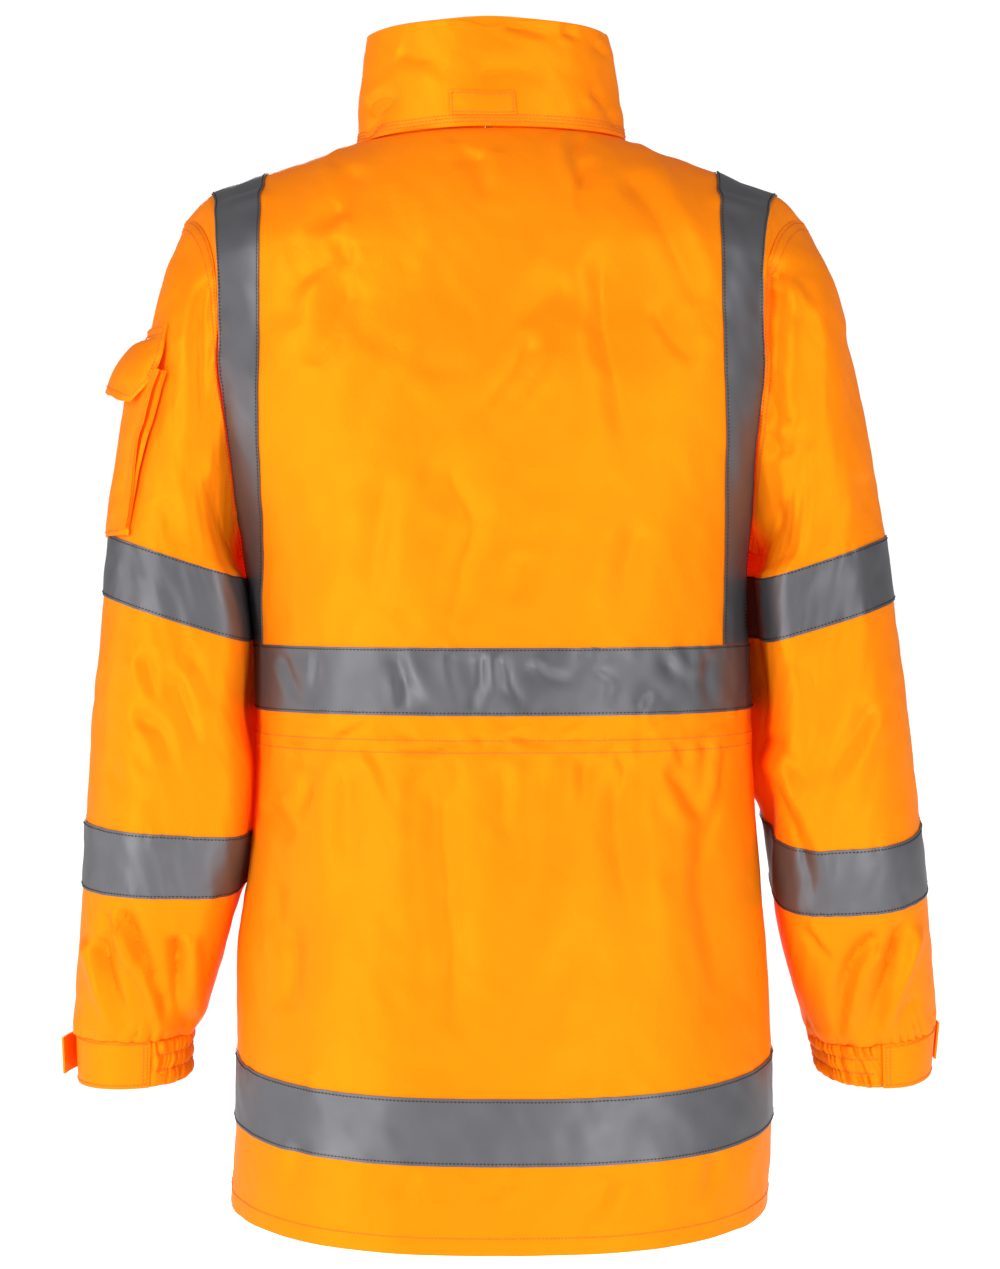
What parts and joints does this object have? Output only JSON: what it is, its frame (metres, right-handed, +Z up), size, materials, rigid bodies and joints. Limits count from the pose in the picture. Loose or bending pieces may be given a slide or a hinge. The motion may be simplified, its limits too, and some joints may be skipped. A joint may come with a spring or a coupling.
{
  "type": "hi-vis work jacket",
  "caption": "Long hi-vis rain jacket as if worn: high stand collar, reflective body, brace and sleeve tapes, half elastic cuffs, sleeve pocket, zip front.",
  "frame": {"origin": "between the two side neck points at their height, where the wearer's neck and shoulders hold the jacket", "axes": "+Z up towards the collar's top edge, -Y the way the jacket's front faces, +X towards the wearer's left"},
  "size_m": [0.6918, 0.3073, 0.922],
  "materials": {
    "orange_cloth": "satin coated polyester cloth, fluorescent orange",
    "reflective_tape": "silver grey retroreflective glass bead tape",
    "zip_coil": "semi-gloss moulded zip teeth",
    "zip_metal": "satin dark nickel plated die casting"
  },
  "bodies": {
    "jacket": {"back": "orange_cloth", "front_left": "orange_cloth", "front_right": "orange_cloth", "sleeve_left": "orange_cloth", "sleeve_right": "orange_cloth", "collar_outer": "orange_cloth", "collar_inner": "orange_cloth", "collar_patch": "orange_cloth", "cuff_band_left": "orange_cloth", "cuff_band_right": "orange_cloth", "cuff_elastic_left": "orange_cloth", "cuff_elastic_right": "orange_cloth", "cuff_tab_left": "orange_cloth", "cuff_tab_right": "orange_cloth", "pocket_bellows": "orange_cloth", "pocket_flap": "orange_cloth", "tape_hem": "reflective_tape", "tape_waist": "reflective_tape", "tape_brace_left": "reflective_tape", "tape_brace_right": "reflective_tape", "tape_upper_arm_left": "reflective_tape", "tape_upper_arm_right": "reflective_tape", "tape_lower_arm_left": "reflective_tape", "tape_lower_arm_right": "reflective_tape", "zip_chain": "zip_coil", "zip_slider": "zip_metal"},
    "pull": {"zip_pull": "zip_metal"}
  },
  "joints": [
    {"name": "pull_hinge", "type": "hinge", "parent": "jacket", "child": "pull", "pos_m": [0.007, -0.08131, 0.02424], "axis": [1, 0, 0], "range_deg": [-170, 0]}
  ]
}
